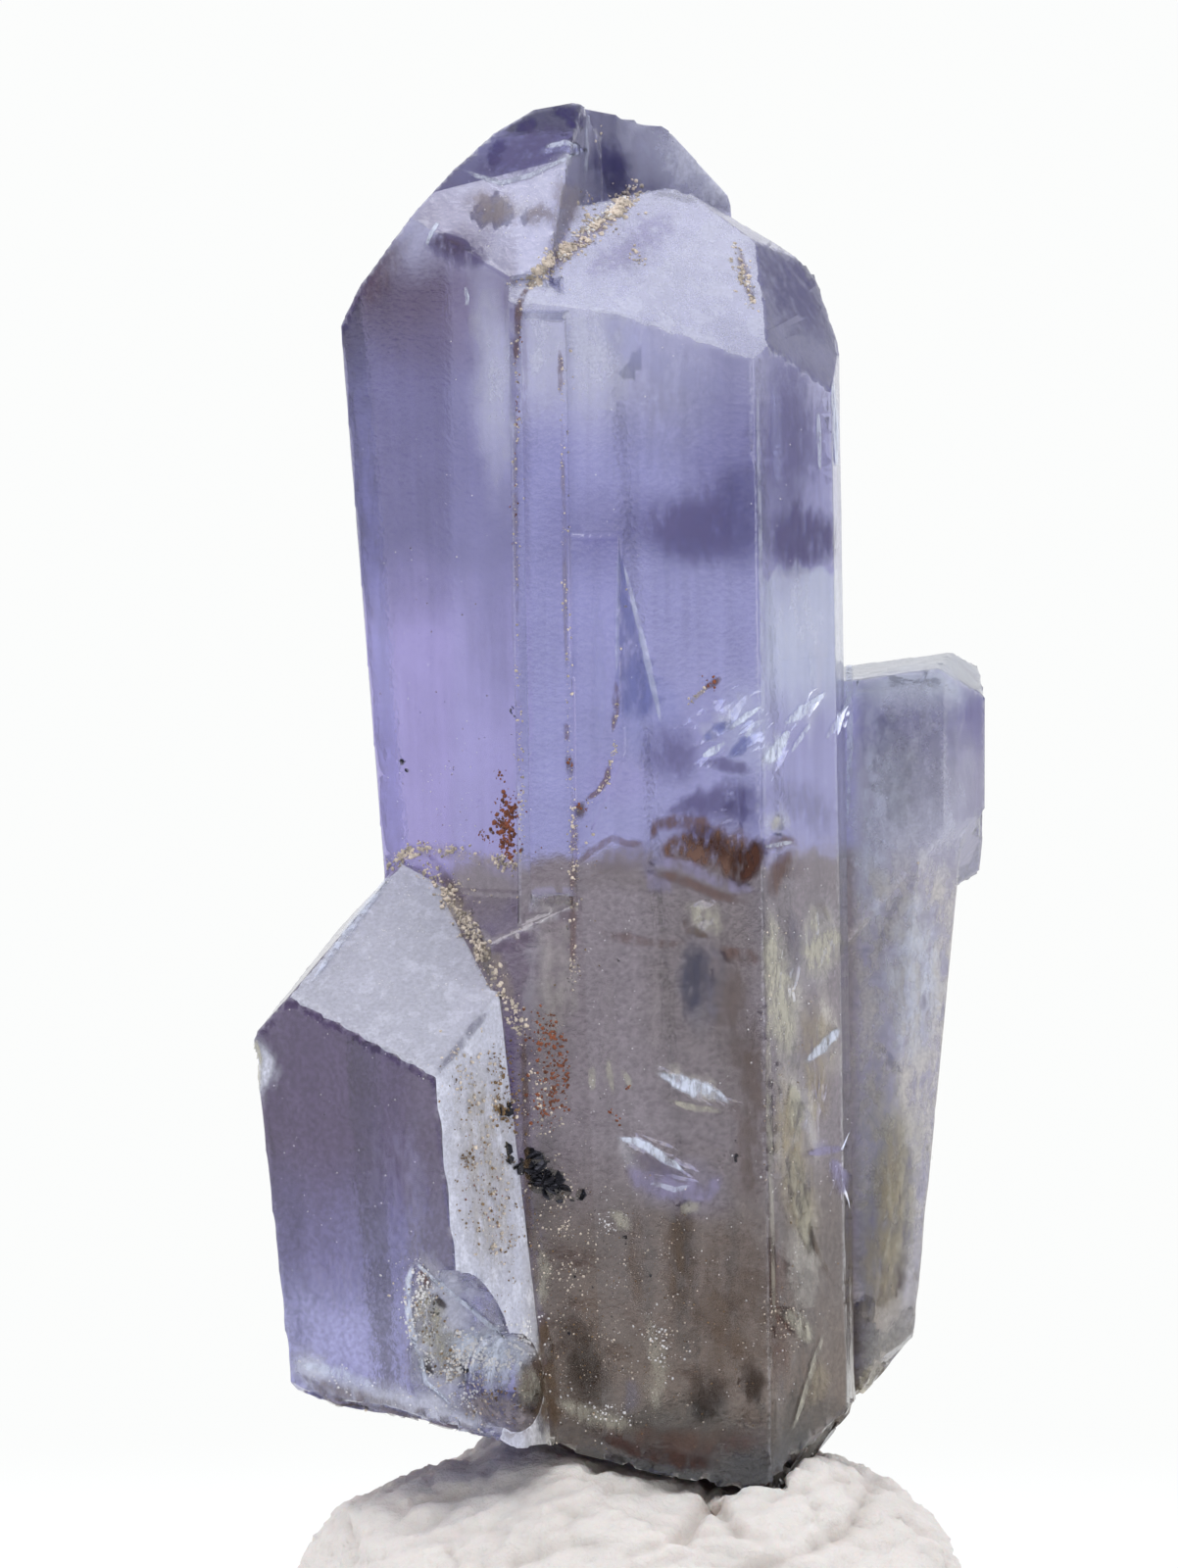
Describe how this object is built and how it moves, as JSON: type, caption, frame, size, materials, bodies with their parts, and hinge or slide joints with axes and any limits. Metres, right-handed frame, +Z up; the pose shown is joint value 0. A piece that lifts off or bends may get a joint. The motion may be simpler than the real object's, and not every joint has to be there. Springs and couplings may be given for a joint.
{
  "type": "tanzanite crystal group on mounting putty",
  "caption": "Cluster of intergrown see-through violet crystals with sloping tips, standing upright in a small lump of pale putty.",
  "frame": {"origin": "on the surface that the putty stands on, under the middle of the whole object's box", "axes": "+Z up along the crystals, +X to the right as seen from the front, +Y away from the viewer"},
  "size_m": [0.0118, 0.0098, 0.0255],
  "materials": {
    "tanzanite": "see-through violet crystal, glassy faces, grey-brown towards the foot",
    "putty": "matt off-white clay-like putty, pinched by hand"
  },
  "bodies": {
    "root": {"crystal_group": "tanzanite", "mounting_putty": "putty"}
  },
  "joints": []
}
